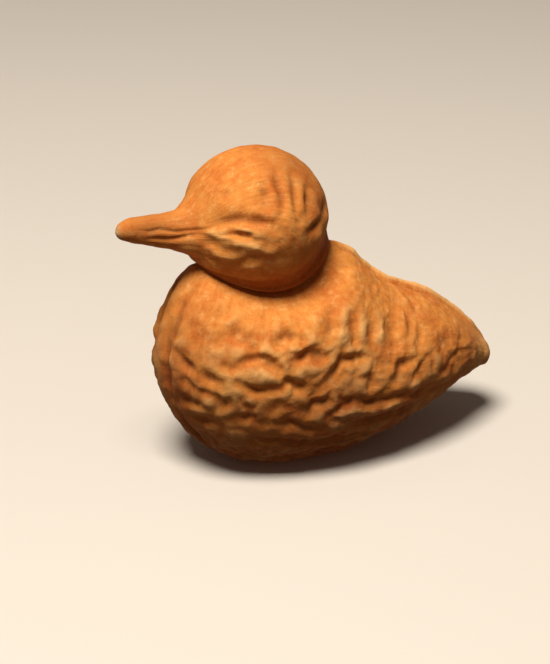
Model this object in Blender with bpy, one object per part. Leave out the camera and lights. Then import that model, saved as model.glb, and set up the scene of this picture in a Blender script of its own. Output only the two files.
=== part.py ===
# Peanut in its shell, one closed solid.
# A small ball lobe with a drawn-out tip sits on a large egg-shaped lobe with a
# blunt tail. Two seams run along the middle plane, and a net of ridges, pits and
# cross ribs covers the large lobe.
#
# Metres, +Z up. The tip points to -X, the tail to +X, and Y = 0 is the middle plane.
# The origin is the middle of the small flat spot that the pod rests on.

import math
import random

import bmesh
import bpy
import numpy as np
from mathutils import Vector, noise

MM = 0.001

# Fineness of the skin
FACES_ROUND = 88
FACES_ALONG = 66

# The ball lobe, in the middle plane, mm
HEAD_X = -2.6
HEAD_Z = 19.75
HEAD_RADIUS = 5.7

# Where the pod rests: the place under its weight, how much the shell is worn flat
# there, and how far round it the relief is rubbed away, mm
REST_X = 0.85
REST_CUT = 0.3
REST_RUBBED = 3.6

# Seams, along the back and down the breast: height and half width of the raised line,
# then depth, place and width of the furrow on either side of it, mm. A seam is looked
# for where the cosine of the angle round the pod is over SEAM_ZONE.
BACK_SEAM = (0.4, 0.5, 0.34, 1.0, 0.35)
BREAST_SEAM = (0.18, 0.85, 0.28, 1.4, 0.4)
SEAM_CLEAR = 1.3
SEAM_ZONE = 0.6
ZONE_SOFT = 0.04

# Wandering of a seam, and the unevenness of its height as a share of it, mm
SEAM_SWAY = 0.35
SEAM_SWAY_LENGTH = 3.0
SEAM_BEADS = 0.3
SEAM_BEAD_LENGTH = 1.2

# How far off a mark is felt, how far its floor lies below the path of its upper wall,
# how softly it goes from its one side to its other, and the deepest that marks reach
# together, mm
REACH_OFF = 2.5
LOWER = 0.2
TURN_OVER = 0.25
DEEPEST = 0.7

# A mark's depth is drawn between these shares of its kind's depth
DEPTH_SPREAD = (0.8, 1.15)

# The mound below a mark: its height as a share of the depth, its place and width, mm.
# Veins and mounds sink where a mark is as deep as FILL_IN.
MOUND = 0.45
MOUND_AT = 1.2
MOUND_WIDTH = 0.5
FILL_IN = 0.15

# The net: height and width of its veins, the pitch of its cells, the fewest cells in a
# row, where it starts and ends, and how far a cell keeps from a mark and a seam, mm
NET_HEIGHT = 0.14
NET_WIDTH = 1.0
NET_PITCH_ALONG = 2.1
NET_PITCH_ROUND = 2.7
NET_FEWEST = 6
NET_START = 19.0
NET_END = 42.5
NET_APART = 1.7
NET_SEAM_APART = 3.4
NET_SEED = 5

# A cell's depth and the shares of it that are drawn, and its two half widths, mm
CELL_DEPTH = 0.4
CELL_SPREAD = (0.3, 1.0)
CELL_ABOVE = 0.5
CELL_UNDER = 0.75

# How far a cell strays along the pod, its half length there, the least and most
# degrees that it reaches round to either side, and its stray round it in pitches
CELL_STRAY = 0.5
CELL_LONG = 0.5
CELL_TALL = (0.5, 4.5)
CELL_STAGGER = 0.25

# The net is faint within so many degrees of the upper seam, and goes so over a few
SHOULDER = 60.0
SHOULDER_SOFT = 6.0
SHOULDER_SHARE = 0.25

# Wandering of every mark and vein, and slow unevenness of the shell, mm
WARP_SIZE = 0.2
WARP_LENGTH = 1.5
WARP_SEED = 4
WAVE_HEIGHT = 0.13
WAVE_LENGTH = 4.0

# The marks are repeated on the far side, moved a little: mm and degrees
FAR_SEED = 11
FAR_SHIFT = 0.7
FAR_TURN = 5.0

# The big lobe's relief starts and ends here; the neck between the lobes is smooth, and
# so are the two ends, mm along the pod
LOBE = (17.2, 44.6)
NECK = (14.2, 16.6)
SMOOTH_END = 0.8
SOFT = 0.4

SHELL_COLOUR = (0.66, 0.36, 0.12, 1.0)
SHELL_ROUGHNESS = 0.78


def ball_section(top_angle, low_angle, bow):
    """A section through the ball lobe, from two angles in the middle plane."""
    top_x = HEAD_X + HEAD_RADIUS * math.cos(math.radians(top_angle))
    top_z = HEAD_Z + HEAD_RADIUS * math.sin(math.radians(top_angle))
    low_x = HEAD_X + HEAD_RADIUS * math.cos(math.radians(low_angle))
    low_z = HEAD_Z + HEAD_RADIUS * math.sin(math.radians(low_angle))
    chord = math.hypot(top_x - low_x, top_z - low_z)
    side_x = (top_x + low_x) / 2 + bow * (top_z - low_z) / chord - HEAD_X
    side_z = (top_z + low_z) / 2 - bow * (top_x - low_x) / chord - HEAD_Z
    half_width = math.sqrt(HEAD_RADIUS ** 2 - side_x ** 2 - side_z ** 2)
    return (top_x, top_z, low_x, low_z, half_width, bow)


# Sections from the tip to the tail, mm: x and z on the upper seam, x and z on the
# lower seam, half width, and how far the sides bow towards the tail.
SECTIONS = np.array([
    (-13.9, 20.3, -13.9, 20.3, 0.0, 0.0),
    (-13.7, 20.8, -13.7, 19.9, 0.4, 0.0),
    (-13.0, 21.2, -13.1, 19.55, 0.75, 0.0),
    (-11.6, 21.25, -11.7, 19.15, 0.95, 0.0),
    (-9.9, 21.25, -10.0, 18.65, 1.25, 0.0),
    (-8.6, 21.5, -8.8, 18.1, 1.8, 0.1),
    (-7.75, 22.3, -8.1, 17.75, 2.8, 0.5),
    ball_section(138, 202, 1.0),
    ball_section(115, 202.5, 1.7),
    ball_section(92, 203.5, 2.2),
    ball_section(66, 204.5, 2.4),
    ball_section(40, 205.5, 2.4),
    ball_section(15, 206, 2.4),
    ball_section(-6, 206.5, 2.4),
    (3.45, 17.6, -7.45, 17.0, 3.7, 2.15),
    (3.7, 17.15, -7.3, 16.85, 2.9, 2.1),
    (4.2, 16.85, -7.7, 16.65, 4.0, 2.3),
    (5.0, 16.3, -8.95, 15.0, 5.8, 1.9),
    (5.7, 15.65, -10.2, 12.2, 6.9, 1.4),
    (6.45, 14.9, -10.65, 8.8, 7.4, 0.8),
    (7.2, 14.25, -9.6, 5.3, 7.6, 0.4),
    (7.9, 13.7, -7.4, 2.3, 7.65, 0.1),
    (8.6, 13.25, -4.2, 0.5, 7.6, 0.0),
    (9.4, 12.9, -0.5, 0.0, 7.4, 0.0),
    (10.4, 12.45, 3.5, 0.2, 6.9, 0.0),
    (11.8, 11.8, 7.5, 1.2, 6.1, 0.0),
    (13.5, 10.65, 11.0, 2.4, 5.0, 0.0),
    (15.3, 9.2, 14.0, 3.5, 3.7, 0.0),
    (16.8, 7.75, 16.3, 4.2, 2.4, 0.0),
    (17.8, 6.6, 17.6, 4.7, 1.3, 0.0),
    (18.2, 5.7, 18.2, 5.7, 0.0, 0.0),
])

# Marks are paths of points (mm along the pod from the tip, degrees round it from
# the upper seam). Each kind has its half width on the side of the upper seam, its
# half width on the other side and its depth, mm.
PITS = (0.5, 0.75, 0.46, [
    [(21, 119), (20.6, 111), (21, 106), (22.2, 101)],
    [(22, 94), (21.8, 85), (23.2, 78)],
    [(25.2, 84), (24.4, 73), (26.3, 67)],
    [(31.4, 75), (31.3, 65), (32.7, 64)],
    [(20.9, 157), (21.4, 146)],
    [(21.5, 140), (22, 131)],
    [(22.2, 121), (23, 115), (23.3, 106)],
    [(23.5, 104), (23.2, 99), (24.7, 95)],
    [(26.1, 103), (26, 96), (26.8, 92)],
])
FAINT_PITS = (0.5, 0.7, 0.28, [
    [(19.5, 130), (19, 122), (20, 114)],
    [(20, 100), (19.3, 95), (20.3, 87)],
    [(33.8, 75), (34.8, 65)],
    [(38.2, 75), (39, 68), (41, 63)],
    [(22.8, 135), (23.3, 132), (23.2, 129)],
    [(24.3, 129), (24.7, 122)],
])
SMALL_PITS = (0.5, 0.6, 0.28, [
    [(19.6, 146), (19.7, 144)],
    [(28.6, 66), (29.7, 65)],
    [(28.5, 73), (29.2, 77)],
    [(37.3, 79), (38.5, 80)],
    [(21.8, 170), (22.5, 168)],
    [(22.5, 142), (22.6, 138)],
    [(27.7, 97), (28.3, 90)],
    [(22.9, 158), (23.1, 149)],
    [(24.1, 153), (24.4, 144)],
])
CROSS_FURROWS = (0.5, 0.5, 0.19, [
    [(19, 67), (20.3, 71), (21.6, 74)],
    [(22, 58), (23.2, 64)],
    [(23.9, 48), (24.7, 52), (25.5, 58)],
    [(26.5, 38), (27.9, 45), (28.9, 53)],
    [(31.1, 36), (31.3, 46)],
    [(33.4, 42), (33.3, 54)],
    [(36.7, 58), (37.5, 52), (38, 46)],
    [(39.2, 58), (40.2, 48)],
])
LONG_FURROWS = (0.45, 0.6, 0.27, [
    [(27.3, 89), (31, 89), (32.4, 87), (35, 91), (37, 95), (40.5, 105)],
    [(25.7, 115), (26.5, 111), (28.3, 109)],
    [(30.2, 101), (33, 102.5), (35, 103)],
    [(26, 129), (27.3, 122), (29, 117), (32, 114)],
    [(17, 33), (18, 24), (20.6, 13)],
])
HEAD_FURROWS = (0.4, 0.4, 0.18, [
    [(7.1, 67), (8, 68), (9.2, 76), (9.7, 78)],
    [(10.4, 36), (10.2, 44)],
    [(10.2, 54), (10.2, 68)],
    [(9.8, 48), (9.6, 61)],
    [(11, 42), (11, 61)],
    [(11.7, 44), (11.7, 54)],
    [(12.5, 68), (12.9, 59), (13.1, 52)],
    [(13.3, 42), (13.6, 30)],
    [(7.6, 85), (8.5, 91)],
])
TIP_FURROWS = (0.3, 0.3, 0.1, [
    [(2, 62), (2.7, 65), (4.9, 68), (5.8, 71), (6.9, 71)],
    [(2.5, 108), (4, 100), (4.9, 90), (6.2, 83)],
])
HEAD_PITS = (0.42, 0.5, 0.17, [
    [(11.6, 62), (11.4, 69)],
    [(10, 82), (10.5, 82)],
    [(7.7, 113), (8.6, 112)],
    [(7.5, 142), (8.1, 140)],
    [(10, 125), (9.9, 117), (10.6, 113)],
    [(6.4, 98), (7, 105)],
    [(7.9, 35), (8.1, 38)],
    [(8.7, 38), (8.9, 38)],
])
RAISED_LINES = (0.42, 0.13, [
    [(6.5, 78), (7, 90), (7.9, 99), (9.7, 105), (10.9, 103)],
    [(6.8, 117), (7.5, 125), (8.9, 129), (9.5, 121)],
    [(11.7, 128), (11.6, 120)],
    [(7.2, 84), (8.4, 86)],
    [(28, 99), (30.6, 96.5), (33.2, 97)],
])
SUNK_MARKS = (PITS, FAINT_PITS, SMALL_PITS, CROSS_FURROWS, LONG_FURROWS, HEAD_FURROWS,
              TIP_FURROWS, HEAD_PITS)


def middle_and_half(rows):
    """Middle of each section and the vector from there to the upper seam."""
    return (rows[:, 0:2] + rows[:, 2:4]) / 2, (rows[:, 0:2] - rows[:, 2:4]) / 2


def line_steps(rows):
    """Steps between sections along the upper seam, the lower seam and the side."""
    middle, half = middle_and_half(rows)
    size = np.maximum(np.hypot(half[:, 0], half[:, 1]), 1e-6)
    side = middle + (rows[:, 5] / size)[:, None] * np.stack([half[:, 1], -half[:, 0]], -1)
    lines = (rows[:, 0:2], rows[:, 2:4], side)
    return np.array([np.linalg.norm(np.diff(line, axis=0), axis=1) for line in lines])


STEPS = line_steps(SECTIONS)
ALONG = np.concatenate([[0.0], np.cumsum(np.maximum(STEPS.mean(axis=0), 0.3))])
REACH = np.concatenate([[0.0], np.cumsum(np.maximum(STEPS.max(axis=0), 0.3))])
LENGTH = ALONG[-1]


def smooth_rows(along):
    """Sections read from a smooth curve through the given ones."""
    width = np.diff(ALONG)[:, None]
    slope = np.diff(SECTIONS, axis=0) / width
    tangent = np.zeros_like(SECTIONS)
    tangent[0] = slope[0]
    tangent[-1] = slope[-1]
    tangent[1:-1] = (slope[:-1] * width[1:] + slope[1:] * width[:-1]) / (width[:-1] + width[1:])
    first = np.clip(np.searchsorted(ALONG, along, side='right') - 1, 0, len(ALONG) - 2)
    span = width[first]
    t = (along - ALONG[first])[:, None] / span
    return ((2 * t ** 3 - 3 * t ** 2 + 1) * SECTIONS[first]
            + (t ** 3 - 2 * t ** 2 + t) * span * tangent[first]
            + (3 * t ** 2 - 2 * t ** 3) * SECTIONS[first + 1]
            + (t ** 3 - t ** 2) * span * tangent[first + 1])


def pod_points(along, around):
    """Smooth pod without its relief, mm: distance from the tip and angle from the upper seam."""
    rows = smooth_rows(np.clip(along, 0, LENGTH))
    middle, half = middle_and_half(rows)
    size = np.maximum(np.hypot(half[:, 0], half[:, 1]), 1e-6)
    bow = rows[:, 5] * np.sin(around) ** 2 / size
    x = middle[:, 0] + half[:, 0] * np.cos(around) + bow * half[:, 1]
    z = middle[:, 1] + half[:, 1] * np.cos(around) - bow * half[:, 0]
    return np.stack([x, -rows[:, 4] * np.sin(around), z], -1)


def pod_normals(along, around):
    """Outward directions of the smooth pod."""
    nudge = 0.02
    forward = pod_points(along + nudge, around) - pod_points(along - nudge, around)
    turning = pod_points(along, around + nudge) - pod_points(along, around - nudge)
    normals = np.cross(turning, forward)
    normals /= np.maximum(np.linalg.norm(normals, axis=1), 1e-12)[:, None]
    return normals


def path_gaps(points, path, lower=0.0):
    """The points near a path: which they are, how far off, and how far below it."""
    along = np.array([place[0] for place in path], float)
    around = np.radians([place[1] for place in path])
    knots = pod_points(along, around)
    down = (pod_points(along, around + 0.1 * np.sign(around)) - knots).mean(axis=0)
    down /= np.linalg.norm(down)
    knots = knots + lower * down
    low, high = knots.min(axis=0) - REACH_OFF, knots.max(axis=0) + REACH_OFF
    near = np.all((points > low) & (points < high), axis=1)
    close = points[near]
    gap = np.full(len(close), REACH_OFF)
    below = np.zeros(len(close))
    for start, end in zip(knots[:-1], knots[1:]):
        run = end - start
        share = np.clip((close - start) @ run / (run @ run), 0, 1)
        offset = close - start - share[:, None] * run
        size = np.linalg.norm(offset, axis=1)
        below = np.where(size < gap, offset @ down, below)
        gap = np.minimum(gap, size)
    return near, gap, below


def both_sides(paths, draw):
    """The paths as given, then the same on the far side, each moved a little."""
    far = []
    for path in paths:
        shift = draw.uniform(-FAR_SHIFT, FAR_SHIFT)
        turn = draw.uniform(-FAR_TURN, FAR_TURN)
        far.append([(along + shift, -(around + turn)) for along, around in path])
    return paths + far


def net_cells(taken, draw):
    """Short pits in staggered rows round the large lobe, where there is no other mark."""
    cells = []
    for number, row in enumerate(smooth_rows(np.arange(NET_START, NET_END, NET_PITCH_ALONG))):
        radius = (row[4] + math.hypot(row[0] - row[2], row[1] - row[3]) / 2) / 2
        count = max(NET_FEWEST, int(2 * math.pi * radius / NET_PITCH_ROUND))
        for step in range(count):
            stagger = draw.uniform(-CELL_STAGGER, CELL_STAGGER)
            turn = 360 * (step + 0.5 * (number % 2) + stagger) / count
            turn = (turn + 180) % 360 - 180
            along = NET_START + number * NET_PITCH_ALONG + draw.uniform(-CELL_STRAY, CELL_STRAY)
            long = draw.uniform(-CELL_LONG, CELL_LONG)
            tall = draw.uniform(*CELL_TALL)
            depth = CELL_DEPTH * draw.uniform(*CELL_SPREAD)
            if abs(turn) < SHOULDER:
                depth *= SHOULDER_SHARE
            here = pod_points(np.array([along]), np.radians([turn]))
            clear_of_seam = abs(here[0][1]) > NET_SEAM_APART
            if clear_of_seam and np.linalg.norm(taken - here, axis=1).min() > NET_APART:
                cells.append((depth, [(along - long, turn - tall), (along + long, turn + tall)]))
    return cells


def all_marks():
    """Every sunk path with its two half widths and its depth."""
    draw = random.Random(FAR_SEED)
    marks = []
    for above, under, depth, paths in SUNK_MARKS:
        for path in both_sides(paths, draw):
            marks.append((above, under, depth * draw.uniform(*DEPTH_SPREAD), path))
    places = np.array([place for mark in marks for place in mark[3]], float)
    taken = pod_points(places[:, 0], np.radians(places[:, 1]))
    for depth, path in net_cells(taken, random.Random(NET_SEED)):
        marks.append((CELL_ABOVE, CELL_UNDER, depth, path))
    return marks


def mark_heights(points, veined):
    """Pits and furrows, the mounds below them, and the veins half way between them."""
    sunk = np.zeros(len(points))
    mound = np.zeros(len(points))
    nearest = np.full(len(points), REACH_OFF)
    second = np.full(len(points), REACH_OFF)
    for above, under, depth, path in all_marks():
        near, gap, below = path_gaps(points, path, LOWER)
        turned = 0.5 + 0.5 * np.tanh(below / TURN_OVER)
        width = above + (under - above) * turned
        sunk[near] += depth * np.exp(-(gap / width) ** 2)
        rise = np.exp(-((gap - MOUND_AT) / MOUND_WIDTH) ** 2)
        mound[near] = np.maximum(mound[near], MOUND * depth * turned * rise)
        second[near] = np.minimum(second[near], np.maximum(nearest[near], gap))
        nearest[near] = np.minimum(nearest[near], gap)
    veins = NET_HEIGHT * np.exp(-((second - nearest) / NET_WIDTH) ** 2)
    veins *= veined * (nearest < REACH_OFF - SOFT)
    raised = np.maximum(veins, mound) * np.exp(-sunk / FILL_IN)
    return raised - DEEPEST * np.tanh(sunk / DEEPEST)


def raised_heights(points, draw):
    """Raised lines."""
    half_width, height, paths = RAISED_LINES
    raised = np.zeros(len(points))
    for path in both_sides(paths, draw):
        near, gap, _ = path_gaps(points, path)
        raised[near] = np.maximum(raised[near], height * np.exp(-(gap / half_width) ** 2))
    return raised


def seam_heights(off, seam):
    """A raised seam with a furrow on each side."""
    height, half, furrow, place, width = seam
    return height * np.exp(-(off / half) ** 4) - furrow * np.exp(-((off - place) / width) ** 2)


def fade(values, low, high, soft):
    """One between low and high, going smoothly to nought outside them."""
    return 1 / ((1 + np.exp((low - values) / soft)) * (1 + np.exp((values - high) / soft)))


def unevenness(points, length):
    """Smooth noise with swells of this length, mm."""
    return np.array([noise.noise(Vector(point)) for point in points / length])


def relief(points, along, around):
    """Height of the shell's surface over the smooth pod, mm."""
    lobe = fade(along, *LOBE, SOFT)
    away = fade(np.degrees(np.abs(around)), SHOULDER, 360, SHOULDER_SOFT)
    away *= fade(along, NET_START, LENGTH, SOFT)
    veined = lobe * (SHOULDER_SHARE + (1 - SHOULDER_SHARE) * away)
    zone = lobe * fade(np.abs(np.cos(around)), SEAM_ZONE, 2, ZONE_SOFT)
    off = np.abs(points[:, 1] + SEAM_SWAY * unevenness(points, SEAM_SWAY_LENGTH))
    clear = 1 - zone * np.exp(-(off / SEAM_CLEAR) ** 4)
    noise.seed_set(WARP_SEED)
    shifts = np.array([noise.noise_vector(Vector(p)) for p in points / WARP_LENGTH])
    wandering = points + WARP_SIZE * shifts
    height = mark_heights(wandering, veined) + raised_heights(wandering, random.Random(FAR_SEED))
    back = np.cos(around) > 0
    seams = np.where(back, seam_heights(off, BACK_SEAM), seam_heights(off, BREAST_SEAM))
    seams *= zone * (1 + SEAM_BEADS * unevenness(points, SEAM_BEAD_LENGTH))
    height = clear * height + seams + WAVE_HEIGHT * unevenness(points, WAVE_LENGTH)
    rest = np.linalg.norm(points - (REST_X, 0, 0), axis=1)
    rubbed = fade(rest, -REST_RUBBED, REST_RUBBED, SOFT / 2)
    ends = fade(along, SMOOTH_END, LENGTH - SMOOTH_END, SOFT / 2)
    return height * (1 - fade(along, *NECK, SOFT / 2)) * (1 - rubbed) * ends


def shell_points(along, around):
    """Finished surface in metres, standing on its worn flat."""
    base = pod_points(along, around)
    raised = base + pod_normals(along, around) * relief(base, along, around)[:, None]
    raised[:, 0] -= REST_X
    raised[:, 2] = np.maximum(raised[:, 2] - REST_CUT, 0)
    return raised * MM


def shell_material():
    """Dry, matt, golden tan shell."""
    material = bpy.data.materials.new("dry_peanut_shell")
    material.use_nodes = True
    shader = material.node_tree.nodes["Principled BSDF"]
    shader.inputs["Base Color"].default_value = SHELL_COLOUR
    shader.inputs["Roughness"].default_value = SHELL_ROUGHNESS
    shader.inputs["Metallic"].default_value = 0.0
    return material


def make_pod(collection):
    """The pod: a ball whose rings and segments are drawn out along it."""
    skin = bmesh.new()
    bmesh.ops.create_uvsphere(skin, u_segments=FACES_ROUND, v_segments=FACES_ALONG, radius=1.0)
    balls = np.array([vert.co for vert in skin.verts])
    ring = np.arccos(np.clip(balls[:, 2], -1, 1)) / math.pi
    along = np.interp(ring * REACH[-1], REACH, ALONG)
    around = np.arctan2(balls[:, 1], balls[:, 0])
    for vert, place in zip(skin.verts, shell_points(along, around)):
        vert.co = place
    bmesh.ops.triangulate(skin, faces=skin.faces)
    bmesh.ops.recalc_face_normals(skin, faces=skin.faces)
    mesh = bpy.data.meshes.new("pod")
    skin.to_mesh(mesh)
    skin.free()
    mesh.shade_smooth()
    mesh.materials.append(shell_material())
    collection.objects.link(bpy.data.objects.new("pod", mesh))


def main():
    for old in list(bpy.data.objects):
        bpy.data.objects.remove(old, do_unlink=True)
    collection = bpy.data.collections.new("peanut")
    bpy.context.scene.collection.children.link(collection)
    make_pod(collection)


main()
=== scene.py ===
# Peanut in its shell: a fine shell with ridges, pits and seams in place of the packed
# pod, a dry papery finish, a pale floor, soft studio light and a camera.

import math
import random

import bmesh
import bpy
import numpy as np
from mathutils import Matrix, Vector, noise


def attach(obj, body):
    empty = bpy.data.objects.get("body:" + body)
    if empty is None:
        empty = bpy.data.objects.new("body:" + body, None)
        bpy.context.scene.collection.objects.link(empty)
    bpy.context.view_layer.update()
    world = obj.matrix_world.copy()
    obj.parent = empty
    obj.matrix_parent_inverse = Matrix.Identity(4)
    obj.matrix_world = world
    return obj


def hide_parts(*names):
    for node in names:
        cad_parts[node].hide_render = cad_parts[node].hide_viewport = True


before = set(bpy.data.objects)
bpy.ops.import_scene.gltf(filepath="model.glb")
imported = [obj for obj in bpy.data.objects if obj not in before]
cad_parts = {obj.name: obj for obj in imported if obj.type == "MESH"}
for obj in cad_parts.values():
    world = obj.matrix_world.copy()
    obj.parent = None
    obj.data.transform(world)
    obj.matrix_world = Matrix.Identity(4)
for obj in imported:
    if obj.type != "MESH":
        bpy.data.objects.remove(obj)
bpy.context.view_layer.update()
mm = 0.001  # m
tiny = 1e-9  # keeps a division from nought
print("frame loaded")

# The smooth pod. Lengths in mm; a place on it is the distance along it from the tip
# and the angle round it from the upper seam.
pod = {
    "facesRound": 316,
    "facesAlong": 312,
    "leastStep": 0.3,  # sections nearer than this count as this far apart
    "grainRadius": 6.0,  # fibres are drawn as on a rod of this radius
    "ballX": -2.6,  # middle of the ball lobe
    "ballZ": 19.75,
    "ballRadius": 5.7,
    "restX": 0.85,  # the place under its weight, which goes to the origin
    "restCut": 0.3,  # how much is worn flat there
    "restRubbed": 3.6,  # the relief is rubbed away this far round it
}


def ballSection(topAngle, lowAngle, bow):
    # a section with its two seams and its sides on the ball
    x, z, radius = pod["ballX"], pod["ballZ"], pod["ballRadius"]
    topX = x + radius * math.cos(math.radians(topAngle))
    topZ = z + radius * math.sin(math.radians(topAngle))
    lowX = x + radius * math.cos(math.radians(lowAngle))
    lowZ = z + radius * math.sin(math.radians(lowAngle))
    chord = math.hypot(topX - lowX, topZ - lowZ)
    sideX = (topX + lowX) / 2 + bow * (topZ - lowZ) / chord - x
    sideZ = (topZ + lowZ) / 2 - bow * (topX - lowX) / chord - z
    return (topX, topZ, lowX, lowZ, math.sqrt(radius ** 2 - sideX ** 2 - sideZ ** 2), bow)


# From the tip to the tail: x and z on the upper seam, x and z on the lower seam,
# half width, and how far the sides bow towards the tail.
sections = np.array([
    (-13.9, 20.3, -13.9, 20.3, 0.0, 0.0),
    (-13.7, 20.8, -13.7, 19.9, 0.4, 0.0),
    (-13.0, 21.2, -13.1, 19.55, 0.75, 0.0),
    (-11.6, 21.25, -11.7, 19.15, 0.95, 0.0),
    (-9.9, 21.25, -10.0, 18.65, 1.25, 0.0),
    (-8.6, 21.5, -8.8, 18.1, 1.8, 0.1),
    (-7.75, 22.3, -8.1, 17.75, 2.8, 0.5),
    ballSection(138, 202, 1.0),
    ballSection(115, 202.5, 1.7),
    ballSection(92, 203.5, 2.2),
    ballSection(66, 204.5, 2.4),
    ballSection(40, 205.5, 2.4),
    ballSection(15, 206, 2.4),
    ballSection(-6, 206.5, 2.4),
    (3.45, 17.6, -7.45, 17.0, 3.7, 2.15),
    (3.7, 17.15, -7.3, 16.85, 2.9, 2.1),
    (4.2, 16.85, -7.7, 16.65, 4.0, 2.3),
    (5.0, 16.3, -8.95, 15.0, 5.8, 1.9),
    (5.7, 15.65, -10.2, 12.2, 6.9, 1.4),
    (6.45, 14.9, -10.65, 8.8, 7.4, 0.8),
    (7.2, 14.25, -9.6, 5.3, 7.6, 0.4),
    (7.9, 13.7, -7.4, 2.3, 7.65, 0.1),
    (8.6, 13.25, -4.2, 0.5, 7.6, 0.0),
    (9.4, 12.9, -0.5, 0.0, 7.4, 0.0),
    (10.4, 12.45, 3.5, 0.2, 6.9, 0.0),
    (11.8, 11.8, 7.5, 1.2, 6.1, 0.0),
    (13.5, 10.65, 11.0, 2.4, 5.0, 0.0),
    (15.3, 9.2, 14.0, 3.5, 3.7, 0.0),
    (16.8, 7.75, 16.3, 4.2, 2.4, 0.0),
    (17.8, 6.6, 17.6, 4.7, 1.6, 0.0),
    (18.2, 5.7, 18.2, 5.7, 0.0, 0.0),
])

# Marks are paths of places (mm along, degrees round). Each sunk kind has its half width
# on the side of the upper seam, its half width on the other side and its depth in mm.
sunkMarks = {
    "pits": (0.28, 0.46, 0.34, [
        [(21, 119), (20.6, 111), (21, 106), (22.2, 101)],
        [(22, 94), (21.8, 85), (23.2, 78)],
        [(25.2, 84), (24.4, 73), (26.3, 67)],
        [(31.4, 75), (31.3, 65), (32.7, 64)],
        [(20.9, 157), (21.4, 146)],
        [(21.5, 140), (22, 131)],
        [(22.2, 121), (23, 115), (23.3, 106)],
        [(23.5, 104), (23.2, 99), (24.7, 95)],
        [(26.1, 103), (26, 96), (26.8, 92)],
    ]),
    "faintPits": (0.3, 0.45, 0.22, [
        [(19.5, 130), (19, 122), (20, 114)],
        [(20, 100), (19.3, 95), (20.3, 87)],
        [(33.8, 75), (34.8, 65)],
        [(38.2, 75), (39, 68), (41, 63)],
        [(22.8, 135), (23.3, 132), (23.2, 129)],
        [(24.3, 129), (24.7, 122)],
    ]),
    "smallPits": (0.28, 0.4, 0.24, [
        [(19.6, 146), (19.7, 144)],
        [(28.6, 66), (29.7, 65)],
        [(28.5, 73), (29.2, 77)],
        [(37.3, 79), (38.5, 80)],
        [(21.8, 170), (22.5, 168)],
        [(22.5, 142), (22.6, 138)],
        [(27.7, 97), (28.3, 90)],
        [(22.9, 158), (23.1, 149)],
        [(24.1, 153), (24.4, 144)],
    ]),
    "crossFurrows": (0.42, 0.42, 0.17, [
        [(19.4, 66), (20.6, 70), (21.9, 73)],
        [(21.8, 54), (24.1, 63)],
        [(24.2, 46), (25.1, 51), (26.1, 57)],
        [(27.6, 38), (28.3, 46), (29.2, 53)],
        [(31.1, 36), (31.3, 46)],
        [(33.4, 42), (33.3, 54)],
        [(36.7, 58), (37.5, 52), (38, 46)],
        [(39.2, 58), (40.2, 48)],
    ]),
    "longFurrows": (0.28, 0.42, 0.2, [
        [(27.3, 89), (31, 89), (32.4, 87), (35, 91), (37, 95), (40.5, 105)],
        [(25.7, 115), (26.5, 111), (28.3, 109)],
        [(30.2, 101), (33, 102.5), (35, 103)],
        [(26, 129), (27.3, 122), (29, 117), (32, 114)],
        [(17, 33), (18, 24), (20.6, 13)],
    ]),
    "ballFurrows": (0.36, 0.36, 0.36, [
        [(7.1, 67), (8, 68), (9.2, 76), (9.7, 78)],
        [(10.5, 32), (10.3, 44), (10.3, 54), (10.2, 68)],
        [(9.6, 42), (9.4, 60)],
        [(11.1, 35), (11.1, 63)],
        [(11.9, 40), (11.9, 57)],
        [(12.5, 68), (12.9, 59), (13.1, 52)],
        [(13.3, 42), (13.6, 30)],
        [(7.6, 85), (8.5, 91)],
    ]),
    "tipFurrows": (0.22, 0.22, 0.15, [
        [(2, 62), (2.7, 65), (4.9, 68), (5.8, 71), (6.9, 71)],
        [(2.5, 108), (4, 100), (4.9, 90), (6.2, 83)],
    ]),
    "ballPits": (0.28, 0.38, 0.16, [
        [(11.6, 62), (11.4, 69)],
        [(10, 82), (10.5, 82)],
        [(7.7, 113), (8.6, 112)],
        [(7.5, 142), (8.1, 140)],
        [(10, 125), (9.9, 117), (10.6, 113)],
        [(6.4, 98), (7, 105)],
        [(7.9, 35), (8.1, 38)],
        [(8.7, 38), (8.9, 38)],
    ]),
    "cellPits": (0.26, 0.36, 0.2, [
        [(21.9, 152), (22.2, 148)],
        [(23.4, 122), (24.1, 122)],
        [(24.7, 113), (24.3, 108)],
        [(25.1, 123), (25.5, 120)],
        [(21, 128), (21.2, 124)],
        [(19.5, 170), (20.8, 169)],
        [(18.5, 138), (18.3, 133)],
        [(18.1, 112), (17.9, 106), (18.1, 102)],
        [(25.2, 96), (25.5, 92)],
        [(30, 88), (30.8, 85)],
    ]),
}

# Each raised kind has its half width and its height in mm.
raisedMarks = {
    "lines": (0.35, 0.13, [
        [(6.5, 78), (7, 90), (7.9, 99), (9.7, 105), (10.9, 103)],
        [(6.8, 117), (7.5, 125), (8.9, 129), (9.5, 121)],
        [(11.7, 128), (11.6, 120)],
        [(7.2, 84), (8.4, 86)],
        [(28, 99), (30.6, 96.5), (33.2, 97)],
    ]),
    "ribs": (0.5, 0.1, [
        [(20.4, 58), (21.6, 64), (23, 69)],
        [(22.6, 50), (23.6, 55), (24.8, 60)],
        [(25, 43), (26.1, 50), (27.1, 56)],
        [(29.9, 38), (30.5, 47), (30.8, 52)],
    ]),
}

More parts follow.
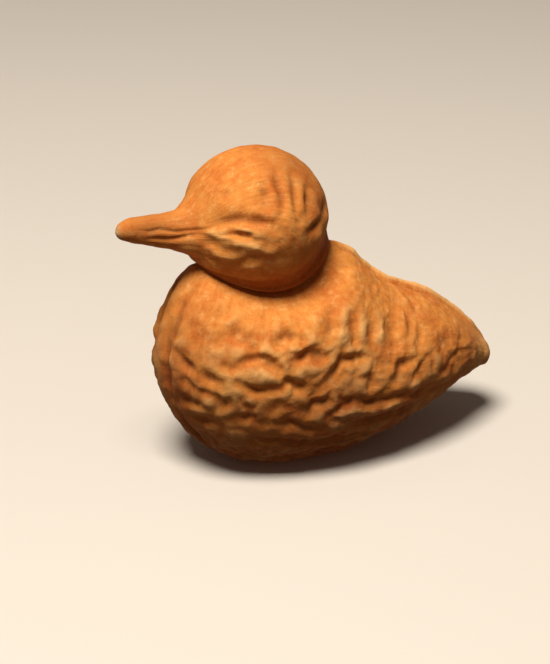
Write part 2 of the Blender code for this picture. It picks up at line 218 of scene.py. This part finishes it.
# Lengths in mm and angles in degrees. A place along goes with its softness.
relief = {
    # where there is relief
    "lobe": (17.2, 44.6, 0.4),  # the large lobe: start, end, softness
    "neck": (14.2, 16.6, 0.2),  # the crease between the lobes, without relief
    "bareEnds": (0.8, 0.25),  # none this near to either end, and the softness there
    "rubbedSoft": 0.2,  # softness round the flat spot
    # marks
    "reach": 2.5,  # a mark is felt only this far away
    "lower": 0.4,  # its floor lies this far below its path
    "ballLower": 0.15,  # the same on the ball lobe
    "ballEnd": 15.0,  # marks that start before this are on the ball lobe
    "turnOver": 0.25,  # how softly it goes from its one side to its other
    "endShare": 0.4,  # its depth at its ends, as a share
    "endLength": 0.6,  # and how soon it is whole
    "depthSpread": (0.8, 1.15),
    "deepest": 0.7,  # where marks cross
    "mound": 0.55,  # height of the mound below a mark, as a share of the depth
    "moundAt": 1.0,
    "moundWidth": 0.42,
    "fillIn": 0.15,  # veins and mounds sink where a mark is this deep
    "tail": (37.0, 0.6),  # marks are fainter past this place
    "tailShare": 0.55,
    "farSeed": 11,  # the far side repeats the marks, each moved a little
    "farShift": 0.7,
    "farTurn": 5.0,
    # net of cells and veins between the marks
    "veinHeight": 0.14,
    "veinWidth": 1.0,
    "veinReach": 2.375,  # no vein this far from every mark
    "cellDepth": 0.34,
    "cellDepthSpread": (0.3, 1.0),
    "cellWidths": (0.32, 0.5),
    "cellLean": 0.5,  # how far its ends stray along
    "cellTurn": (0.5, 4.5),  # half its length round
    "netPitchAlong": 1.9,
    "netPitchRound": 2.2,
    "netFewest": 6,  # cells in a row
    "netStray": 0.5,  # strays along
    "netSway": 0.25,  # and round, as a share of the pitch
    "netSeed": 5,
    "netStart": 19.0,
    "netEnd": 42.5,
    "netStartSoft": 0.4,
    "netApart": 1.35,  # a cell keeps this far from a mark
    "netSeamApart": 2.6,  # and this far from a seam
    "shoulder": (60.0, 6.0),  # the net is faint this near to the upper seam, with its softness
    "shoulderShare": 0.25,
    # seams: height, half width; depth, place and width of the furrow beside it
    "backSeam": (0.36, 0.32, 0.4, 0.74, 0.22),
    "breastSeam": (0.1, 0.85, 0.26, 1.35, 0.32),
    "seamLong": (17.6, 44.6, 0.7),  # start, end, softness
    "seamZone": (0.6, 0.04),  # a seam is where the cosine of the angle is over this
    "seamClear": 1.0,  # half width kept clear of other relief
    "breastClear": 0.55,  # and how clear, as a share, on the lower seam
    "seamSway": 0.35,  # how far it wanders
    "seamSwayLength": 3.0,
    "seamBeads": 0.3,  # how uneven it is, as a share
    "seamBeadLength": 1.2,
    # unevenness of the whole
    "warpSize": 0.2,  # how far marks and veins wander
    "warpLength": 1.5,
    "warpSeed": 4,
    "knobHeight": 0.1,  # small knobs with creases between them
    "knobSize": 1.4,
    "knobSoft": 0.35,
    "knobTop": 0.4,  # their top, as a share of the height
    "uneven": ((0.12, 4.0), (0.08, 0.9), (0.03, 0.35)),  # height and length of each size of it
    "ballShare": 0.6,  # and how much of it, as a share, on the ball lobe
}


def middleAndHalf(rows):
    return (rows[:, 0:2] + rows[:, 2:4]) / 2, (rows[:, 0:2] - rows[:, 2:4]) / 2


def lineSteps(rows):
    # steps between sections along the upper seam, the lower seam and the side
    middle, half = middleAndHalf(rows)
    size = np.maximum(np.hypot(half[:, 0], half[:, 1]), tiny)
    side = middle + (rows[:, 5] / size)[:, None] * np.stack([half[:, 1], -half[:, 0]], -1)
    lines = (rows[:, 0:2], rows[:, 2:4], side)
    return np.array([np.linalg.norm(np.diff(line, axis=0), axis=1) for line in lines])


# How far along each section is: places are given by the mean of the three lines, and
# the faces are spread by the longest of them.
steps = lineSteps(sections)
meanSteps = np.maximum(steps.mean(axis=0), pod["leastStep"])
longSteps = np.maximum(steps.max(axis=0), pod["leastStep"])
alongKnots = np.concatenate([[0.0], np.cumsum(meanSteps)])
reachKnots = np.concatenate([[0.0], np.cumsum(longSteps)])
podLength = alongKnots[-1]


def smoothRows(along):
    # sections read from a smooth curve through the given ones
    width = np.diff(alongKnots)[:, None]
    slope = np.diff(sections, axis=0) / width
    tangent = np.zeros_like(sections)
    tangent[0] = slope[0]
    tangent[-1] = slope[-1]
    tangent[1:-1] = (slope[:-1] * width[1:] + slope[1:] * width[:-1]) / (width[:-1] + width[1:])
    first = np.searchsorted(alongKnots, along, side="right") - 1
    first = np.clip(first, 0, len(alongKnots) - 2)
    span = width[first]
    t = (along - alongKnots[first])[:, None] / span
    return ((2 * t ** 3 - 3 * t ** 2 + 1) * sections[first]
            + (t ** 3 - 2 * t ** 2 + t) * span * tangent[first]
            + (3 * t ** 2 - 2 * t ** 3) * sections[first + 1]
            + (t ** 3 - t ** 2) * span * tangent[first + 1])


def podPoints(along, around):
    # points of the smooth pod, before it is moved to stand at the origin
    rows = smoothRows(np.clip(along, 0, podLength))
    middle, half = middleAndHalf(rows)
    size = np.maximum(np.hypot(half[:, 0], half[:, 1]), tiny)
    bow = rows[:, 5] * np.sin(around) ** 2 / size
    x = middle[:, 0] + half[:, 0] * np.cos(around) + bow * half[:, 1]
    z = middle[:, 1] + half[:, 1] * np.cos(around) - bow * half[:, 0]
    return np.stack([x, -rows[:, 4] * np.sin(around), z], -1)


def podNormals(along, around):
    nudge = 0.02  # mm along, radians round
    forward = podPoints(along + nudge, around) - podPoints(along - nudge, around)
    turning = podPoints(along, around + nudge) - podPoints(along, around - nudge)
    normals = np.cross(turning, forward)
    return normals / np.maximum(np.linalg.norm(normals, axis=1), tiny)[:, None]


def pathGaps(points, path, lower=0.0):
    # for the points near a path: which they are, how far off, how far below it, and how
    # far inside its nearer end
    along = np.array([place[0] for place in path], float)
    around = np.radians([place[1] for place in path])
    knots = podPoints(along, around)
    nudge = 0.1 * np.sign(around)  # radians, away from the upper seam
    down = (podPoints(along, around + nudge) - knots).mean(axis=0)
    down /= np.linalg.norm(down)
    knots = knots + lower * down
    reach = relief["reach"]
    low, high = knots.min(axis=0) - reach, knots.max(axis=0) + reach
    near = np.all((points > low) & (points < high), axis=1)
    close = points[near]
    gap = np.full(len(close), reach)
    below = np.zeros(len(close))
    passed = np.zeros(len(close))
    whole = 0.0
    for start, end in zip(knots[:-1], knots[1:]):
        run = end - start
        length = np.linalg.norm(run)
        share = np.clip((close - start) @ run / (run @ run), 0, 1)
        offset = close - start - share[:, None] * run
        size = np.linalg.norm(offset, axis=1)
        nearer = size < gap
        below = np.where(nearer, offset @ down, below)
        passed = np.where(nearer, whole + share * length, passed)
        gap = np.minimum(gap, size)
        whole += length
    return near, gap, below, np.minimum(passed, whole - passed)


def bothSides(paths, draw):
    far = []
    for path in paths:
        shift = draw.uniform(-relief["farShift"], relief["farShift"])
        turn = draw.uniform(-relief["farTurn"], relief["farTurn"])
        far.append([(along + shift, -(around + turn)) for along, around in path])
    return paths + far


def netCells(taken, draw):
    # short pits in staggered rows round the large lobe, where there is no other mark
    pitch = relief["netPitchAlong"]
    rows = smoothRows(np.arange(relief["netStart"], relief["netEnd"], pitch))
    cells = []
    for number, row in enumerate(rows):
        radius = (row[4] + math.hypot(row[0] - row[2], row[1] - row[3]) / 2) / 2
        count = int(2 * math.pi * radius / relief["netPitchRound"])
        count = max(relief["netFewest"], count)
        for step in range(count):
            sway = draw.uniform(-relief["netSway"], relief["netSway"])
            stray = draw.uniform(-relief["netStray"], relief["netStray"])
            lean = draw.uniform(-relief["cellLean"], relief["cellLean"])
            tall = draw.uniform(*relief["cellTurn"])
            depth = relief["cellDepth"] * draw.uniform(*relief["cellDepthSpread"])
            along = relief["netStart"] + number * pitch + stray
            turn = 360 * (step + 0.5 * (number % 2) + sway) / count
            turn = (turn + 180) % 360 - 180
            if abs(turn) < relief["shoulder"][0]:
                depth *= relief["shoulderShare"]
            here = podPoints(np.array([along]), np.radians([turn]))
            clearOfSeam = abs(here[0][1]) > relief["netSeamApart"]
            clearOfMarks = np.linalg.norm(taken - here, axis=1).min() > relief["netApart"]
            if clearOfSeam and clearOfMarks:
                cells.append((depth, [(along - lean, turn - tall), (along + lean, turn + tall)]))
    return cells


def allMarks():
    # every sunk path, with its two half widths and its depth before it
    draw = random.Random(relief["farSeed"])
    marks = []
    for above, under, depth, paths in sunkMarks.values():
        for path in bothSides(paths, draw):
            marks.append((above, under, depth * draw.uniform(*relief["depthSpread"]), path))
    places = np.array([place for mark in marks for place in mark[-1]], float)
    taken = podPoints(places[:, 0], np.radians(places[:, 1]))
    for depth, path in netCells(taken, random.Random(relief["netSeed"])):
        marks.append((*relief["cellWidths"], depth, path))
    return marks


def rise(values, start, soft):
    # nought before the start and one after it
    return 1 / (1 + np.exp((start - values) / soft))


def fade(values, start, end, soft):
    # one from the start to the end and nought outside them
    return rise(values, start, soft) * rise(-values, -end, soft)


def markHeights(points, veined):
    # pits and furrows, the mounds below them, and veins half way between each and the next
    reach = relief["reach"]
    sunk = np.zeros(len(points))
    mound = np.zeros(len(points))
    nearest = np.full(len(points), reach)
    second = np.full(len(points), reach)
    for above, under, depth, path in allMarks():
        onBall = path[0][0] < relief["ballEnd"]
        lower = relief["ballLower"] if onBall else relief["lower"]
        near, gap, below, inside = pathGaps(points, path, lower)
        turned = 0.5 + 0.5 * np.tanh(below / relief["turnOver"])
        width = above + (under - above) * turned
        ended = np.exp(-(inside / relief["endLength"]) ** 2)
        tapered = depth * (1 - (1 - relief["endShare"]) * ended)
        sunk[near] += tapered * np.exp(-(gap / width) ** 2)
        raised = np.exp(-((gap - relief["moundAt"]) / relief["moundWidth"]) ** 2)
        mound[near] = np.maximum(mound[near], relief["mound"] * tapered * turned * raised)
        second[near] = np.minimum(second[near], np.maximum(nearest[near], gap))
        nearest[near] = np.minimum(nearest[near], gap)
    veins = relief["veinHeight"] * np.exp(-((second - nearest) / relief["veinWidth"]) ** 2)
    veins *= veined * (nearest < relief["veinReach"])
    raised = np.maximum(veins, mound) * np.exp(-sunk / relief["fillIn"])
    return raised - relief["deepest"] * np.tanh(sunk / relief["deepest"])


def raisedHeights(points, draw):
    raised = np.zeros(len(points))
    for halfWidth, height, paths in raisedMarks.values():
        for path in bothSides(paths, draw):
            near, gap = pathGaps(points, path)[:2]
            raised[near] = np.maximum(raised[near], height * np.exp(-(gap / halfWidth) ** 2))
    return raised


def noiseHeights(points, length):
    return np.array([noise.noise(Vector(point)) for point in points / length])


def knobHeights(points):
    # knobs are a little above nought, and creases well below it
    spots = points / relief["knobSize"]
    near = np.array([noise.voronoi(Vector(spot))[0][:2] for spot in spots])
    edge = near[:, 1] - near[:, 0]
    return relief["knobTop"] - np.exp(-(edge / relief["knobSoft"]) ** 2)


def warped(points):
    noise.seed_set(relief["warpSeed"])
    spots = points / relief["warpLength"]
    shifts = np.array([noise.noise_vector(Vector(spot)) for spot in spots])
    return points + relief["warpSize"] * shifts


def seamProfile(off, kind):
    height, half, furrow, place, width = relief[kind]
    return height * np.exp(-(off / half) ** 4) - furrow * np.exp(-((off - place) / width) ** 2)


def seamHeights(points, along, around):
    # the two seams, and how much of the other relief is left beside them
    back = np.cos(around) > 0
    zone = fade(along, *relief["seamLong"]) * rise(np.abs(np.cos(around)), *relief["seamZone"])
    sway = relief["seamSway"] * noiseHeights(points, relief["seamSwayLength"])
    off = np.abs(points[:, 1] + sway)
    cleared = np.where(back, 1, relief["breastClear"])
    left = 1 - zone * cleared * np.exp(-(off / relief["seamClear"]) ** 4)
    beaded = 1 + relief["seamBeads"] * noiseHeights(points, relief["seamBeadLength"])
    seams = np.where(back, seamProfile(off, "backSeam"), seamProfile(off, "breastSeam"))
    return zone * beaded * seams, left


def shellHeights(points, along, around):
    # heights of the relief above the smooth pod, and how far each point is in the neck
    lobe = fade(along, *relief["lobe"])
    away = rise(np.degrees(np.abs(around)), *relief["shoulder"])
    away *= rise(along, relief["netStart"], relief["netStartSoft"])
    netted = lobe * (relief["shoulderShare"] + (1 - relief["shoulderShare"]) * away)
    seams, left = seamHeights(points, along, around)
    wandering = warped(points)
    height = markHeights(wandering, netted)
    height *= 1 - (1 - relief["tailShare"]) * rise(along, *relief["tail"])
    height += netted * relief["knobHeight"] * knobHeights(wandering)
    height += raisedHeights(wandering, random.Random(relief["farSeed"]))
    height = left * height + seams
    uneven = sum(size * noiseHeights(points, length) for size, length in relief["uneven"])
    height += (relief["ballShare"] + (1 - relief["ballShare"]) * lobe) * uneven
    neck = fade(along, *relief["neck"])
    spot = np.linalg.norm(points - (pod["restX"], 0, 0), axis=1)
    clear = rise(spot, pod["restRubbed"], relief["rubbedSoft"])
    bareEnd, soft = relief["bareEnds"]
    return height * (1 - neck) * clear * fade(along, bareEnd, podLength - bareEnd, soft), neck


# Painted light: painted shade round the underside and in patches where the light leaves the pod
# dark, and painted highlights where it falls brightest.
paintedLight = {
    "patches": [  # mm along, degrees round, radius in mm, share
        (11.5, 20, 3.0, 0.45),
        (12.8, 45, 2.6, 0.45),
        (13.4, 72, 2.6, 0.4),
        (3, 40, 2.6, 0.4),
        (22, 172, 4.2, 0.7),
        (29, 100, 4.0, 0.7),
        (36, 98, 3.0, 0.5),
    ],
    # painted highlights: patches given the pale colour where the light falls brightest, here the
    # tail end
    "highlightSpots": [  # the same
        (44.3, 70, 2.2, 0.5),
    ],
    "underShade": 0.9,  # share of the painted shade underneath
    "underShadeHigh": 10.0,  # mm up: no painted shade above this height, and all of it from the next height down
    "underShadeLow": 2.0,
}


def patchShares(points, patches):
    shares = np.zeros(len(points))
    for along, around, radius, share in patches:
        middle = podPoints(np.array([float(along)]), np.radians([around]))
        gap = np.linalg.norm(points - middle, axis=1)
        shares = np.maximum(shares, share * np.exp(-(gap / radius) ** 2))
    return shares


def paintedShadeShares(points):
    # painted shade: darker round the underside and in a few patches, where the light leaves the pod
    # dark
    high, low = paintedLight["underShadeHigh"], paintedLight["underShadeLow"]
    underShade = paintedLight["underShade"] * np.clip((high - points[:, 2]) / (high - low), 0, 1)
    return np.maximum(underShade, patchShares(points, paintedLight["patches"]))


def makeShell():
    skin = bmesh.new()
    bmesh.ops.create_uvsphere(skin, u_segments=pod["facesRound"],
                              v_segments=pod["facesAlong"], radius=1.0)
    ball = np.array([vert.co for vert in skin.verts])
    share = np.arccos(np.clip(ball[:, 2], -1, 1)) / math.pi
    along = np.interp(share * reachKnots[-1], reachKnots, alongKnots)
    around = np.arctan2(ball[:, 1], ball[:, 0])
    base = podPoints(along, around)
    height, neck = shellHeights(base, along, around)
    points = base + podNormals(along, around) * height[:, None]
    points[:, 0] -= pod["restX"]
    points[:, 2] = np.maximum(points[:, 2] - pod["restCut"], 0)
    for vert, point in zip(skin.verts, points):
        vert.co = point * mm
    bmesh.ops.recalc_face_normals(skin, faces=skin.faces)
    mesh = bpy.data.meshes.new("peanutShell")
    skin.to_mesh(mesh)
    skin.free()
    mesh.shade_smooth()
    # what the finish reads at each point
    radius = pod["grainRadius"]
    grain = np.stack([along, radius * np.cos(around), radius * np.sin(around)], -1)
    for name, values in {"grain": grain, "place": base}.items():
        layer = mesh.attributes.new(name, "FLOAT_VECTOR", "POINT")
        layer.data.foreach_set("vector", values.ravel())
    # painted shade in the neck crease, round the underside and in patches, and a painted highlight
    # on the tail end
    paintedHighlight = patchShares(base, paintedLight["highlightSpots"])
    shares = {"height": height, "along": along, "crease": neck,
              "paintedShade": paintedShadeShares(base), "paintedHighlight": paintedHighlight}
    for name, values in shares.items():
        layer = mesh.attributes.new(name, "FLOAT", "POINT")
        layer.data.foreach_set("value", values)
    piece = bpy.data.objects.new("peanutShell", mesh)
    bpy.context.scene.collection.objects.link(piece)
    return piece


def linearColour(code):
    # sRGB hex to linear
    parts = [int(code[i:i + 2], 16) / 255 for i in (1, 3, 5)]
    linear = [part / 12.92 if part <= 0.04045 else ((part + 0.055) / 1.055) ** 2.4 for part in parts]
    return (*linear, 1.0)


def addNode(material, kind, settings=None, links=None):
    # settings: attribute, or socket name or number, to value
    # links: socket name or number to a (node, output) pair
    node = material.node_tree.nodes.new(kind)
    for name, value in (settings or {}).items():
        if isinstance(name, str) and hasattr(node, name):
            setattr(node, name, value)
        else:
            node.inputs[name].default_value = value
    for name, (source, output) in (links or {}).items():
        material.node_tree.links.new(source.outputs[output], node.inputs[name])
    return node


shellFinish = {
    "tan": "#e08f40",  # most of the shell
    "pale": "#fcc47a",  # tops of the ridges, partly their own paler colour and partly a painted highlight; also the pale mottle and fibres, and the painted highlight on the tail end
    "brown": "#7a3811",  # painted shade in the pits and the neck crease; also the dark fibres and pores
    "rust": "#c05a20",  # patches
    "paintedShade": "#702c10",  # painted shade round the underside and in patches
    "tip": "#f0d3a0",  # broken end
    "roughness": 0.8,
    "specular": 0.2,
    # patterns, with their scale per mm
    "rusting": {"Scale": 0.45, "Detail": 4.0},  # patches about 2 mm across
    "mottle": {"Scale": 1.5, "Detail": 5.0, "Roughness": 0.7},  # under 1 mm across
    "pores": {"Scale": 5.0, "Detail": 3.0},  # 0.2 mm across
    "fibres": {"Scale": 1.6, "Detail": 6.0, "Roughness": 0.65},
    "fibreStretch": (0.35, 2.2, 2.2),  # so fibres are 2 mm long and 0.3 mm wide
    "fibreBump": (0.6, 0.08),  # strength, and depth in mm
    "poreBump": (0.5, 0.06),
    "paintedShadeBreak": {"From Min": 0.3, "From Max": 0.6, "To Min": 0.5, "To Max": 1.0},
    # Coats from first to last: what it follows, the value where it starts, the value
    # where it is whole, its share there, and its colour. Where the three values are
    # None, what it follows is its share.
    "coats": [
        ("rusting", 0.4, 0.7, 0.5, "rust"),
        ("mottle", 0.5, 0.7, 0.4, "pale"),
        ("mottle", 0.5, 0.32, 0.4, "rust"),
        # painted shade in the pits
        ("height", -0.02, -0.4, 0.7, "brown"),
        # paler ridge tops: partly their own colour, partly a painted highlight
        ("height", 0.02, 0.3, 0.8, "pale"),
        # painted shade round the underside and in patches
        ("paintedShade", None, None, None, "paintedShade"),
        # painted highlight on the tail end
        ("paintedHighlight", None, None, None, "pale"),
        ("fibres", 0.45, 0.75, 0.15, "pale"),
        ("fibres", 0.45, 0.25, 0.18, "brown"),
        ("pores", 0.62, 0.75, 0.35, "brown"),
        # painted shade in the neck crease
        ("crease", 0.2, 1.0, 0.7, "brown"),
        ("along", 0.8, 0.0, 0.5, "tip"),
    ],
}


def dryPaperyShell():
    # dry fibrous husk: matt, golden tan, faint streaks along it; painted shade in its pits, its neck
    # crease, round its underside and in patches, and painted highlights on its ridge tops and tail
    # end
    material = bpy.data.materials.new("dryPaperyShell")
    material.use_nodes = True
    shader = material.node_tree.nodes["Principled BSDF"]
    shader.inputs["Roughness"].default_value = shellFinish["roughness"]
    shader.inputs["Specular IOR Level"].default_value = shellFinish["specular"]
    follows = {}
    for name in ("height", "along", "crease", "paintedShade", "paintedHighlight"):
        follows[name] = (addNode(material, "ShaderNodeAttribute", {"attribute_name": name}), "Fac")
    grain = addNode(material, "ShaderNodeAttribute", {"attribute_name": "grain"})
    place = addNode(material, "ShaderNodeAttribute", {"attribute_name": "place"})
    stretched = addNode(material, "ShaderNodeVectorMath",
                        {"operation": "MULTIPLY", 1: shellFinish["fibreStretch"]},
                        {0: (grain, "Vector")})
    for name in ("rusting", "mottle", "pores", "fibres"):
        vector = (stretched if name == "fibres" else place, "Vector")
        pattern = addNode(material, "ShaderNodeTexNoise", shellFinish[name], {"Vector": vector})
        follows[name] = (pattern, 0)
    # the mottle breaks up the painted shade
    broken = addNode(material, "ShaderNodeMapRange", shellFinish["paintedShadeBreak"],
                     {"Value": follows["mottle"]})
    brokenShade = addNode(material, "ShaderNodeMath", {"operation": "MULTIPLY"},
                      {0: follows["paintedShade"], 1: (broken, "Result")})
    follows["paintedShade"] = (brokenShade, "Value")
    # tan under the first coat, and each coat under the next
    under = {6: linearColour(shellFinish["tan"])}
    links = {}
    for name, start, whole, most, colour in shellFinish["coats"]:
        links[0] = follows[name]
        if most is not None:
            ramp = {"interpolation_type": "SMOOTHSTEP",
                    "From Min": start, "From Max": whole, "To Max": most}
            share = addNode(material, "ShaderNodeMapRange", ramp, {"Value": follows[name]})
            links[0] = (share, "Result")
        over = {"data_type": "RGBA", 7: linearColour(shellFinish[colour])}
        coat = addNode(material, "ShaderNodeMix", {**over, **under}, links)
        links[6] = (coat, 2)
    material.node_tree.links.new(coat.outputs[2], shader.inputs["Base Color"])
    # fibres raised a little, and pores over them
    strength, depth = shellFinish["fibreBump"]
    fibrous = addNode(material, "ShaderNodeBump", {"Strength": strength, "Distance": depth * mm},
                      {"Height": follows["fibres"]})
    strength, depth = shellFinish["poreBump"]
    porous = addNode(material, "ShaderNodeBump", {"Strength": strength, "Distance": depth * mm},
                     {"Height": follows["pores"], "Normal": (fibrous, "Normal")})
    material.node_tree.links.new(porous.outputs["Normal"], shader.inputs["Normal"])
    return material


floorFinish = {
    "colour": "#dedbd5",
    "roughness": 0.9,
    "halfWidth": 2.0,  # m
}


def makeFloor():
    skin = bmesh.new()
    bmesh.ops.create_grid(skin, x_segments=1, y_segments=1, size=floorFinish["halfWidth"])
    mesh = bpy.data.meshes.new("floor")
    skin.to_mesh(mesh)
    skin.free()
    floor = bpy.data.objects.new("floor", mesh)
    bpy.context.scene.collection.objects.link(floor)
    # matt paper: even and pale, with no gloss
    material = bpy.data.materials.new("paleMattPaper")
    material.use_nodes = True
    shader = material.node_tree.nodes["Principled BSDF"]
    shader.inputs["Base Color"].default_value = linearColour(floorFinish["colour"])
    shader.inputs["Roughness"].default_value = floorFinish["roughness"]
    mesh.materials.append(material)
    floor.visible_diffuse = False  # throws no light back up at the pod


view = {
    "azimuth": -25.0,
    "elevation": 22.0,
    "distance": 170.0,  # mm
    "target": (-0.35, 0.0, 10.7),  # mm
    "targetPixel": (291, 320),  # where the target is seen
    "pixel": 0.078,  # mm at the target
    "pixels": (550, 664),  # of the whole picture
    "sensor": 24.0,  # mm
    "clipStart": 0.005,  # m
}


def makeCamera():
    turn, tilt = math.radians(view["azimuth"]), math.radians(view["elevation"])
    level = math.cos(tilt)
    back = Vector((math.sin(turn) * level, -math.cos(turn) * level, math.sin(tilt)))
    right = Vector((math.cos(turn), math.sin(turn), 0))
    up = back.cross(right)
    wide, tall = view["pixels"]
    aside = (wide / 2 - view["targetPixel"][0]) * view["pixel"]
    above = (view["targetPixel"][1] - tall / 2) * view["pixel"]
    aim = Vector(view["target"]) + right * aside + up * above
    data = bpy.data.cameras.new("camera")
    data.sensor_fit = "VERTICAL"
    data.sensor_height = view["sensor"]
    data.lens = view["sensor"] * view["distance"] / (tall * view["pixel"])
    data.clip_start = view["clipStart"]
    camera = bpy.data.objects.new("camera", data)
    place = Matrix((right, up, back)).transposed().to_4x4()
    place.translation = (aim + back * view["distance"]) * mm
    camera.matrix_world = place
    bpy.context.scene.collection.objects.link(camera)
    bpy.context.scene.camera = camera


studioLight = {
    "lamps": {  # place in m, width in m, power in W, colour
        "key": ((-0.115, -0.105, 0.365), 0.17, 2.1, "#fff3e4"),
        "fill": ((-0.20, -0.40, 0.25), 0.3, 0.03, "#fff6ec"),
    },
    "aim": (0.0, 0.0, 0.012),  # m
    "surround": "#ffe0c8",
    "surroundStrength": 0.09,
}


def makeLight():
    for name, (place, width, power, colour) in studioLight["lamps"].items():
        data = bpy.data.lights.new(name, "AREA")
        data.shape = "DISK"
        data.size = width
        data.energy = power
        data.color = linearColour(colour)[:3]
        lamp = bpy.data.objects.new(name, data)
        lamp.location = place
        towards = Vector(studioLight["aim"]) - Vector(place)
        lamp.rotation_euler = towards.to_track_quat("-Z", "Y").to_euler()
        bpy.context.scene.collection.objects.link(lamp)
    world = bpy.data.worlds.new("studio")
    world.use_nodes = True
    surround = world.node_tree.nodes["Background"].inputs
    surround["Color"].default_value = linearColour(studioLight["surround"])
    surround["Strength"].default_value = studioLight["surroundStrength"]
    bpy.context.scene.world = world
    bpy.context.scene.view_settings.view_transform = "Standard"


shell = makeShell()
shell.data.materials.append(dryPaperyShell())
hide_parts("pod")
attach(shell, "root")
print("shell made:", len(shell.data.polygons), "faces")

makeFloor()
makeLight()
makeCamera()
print("floor, light and camera placed")

bpy.context.view_layer.update()
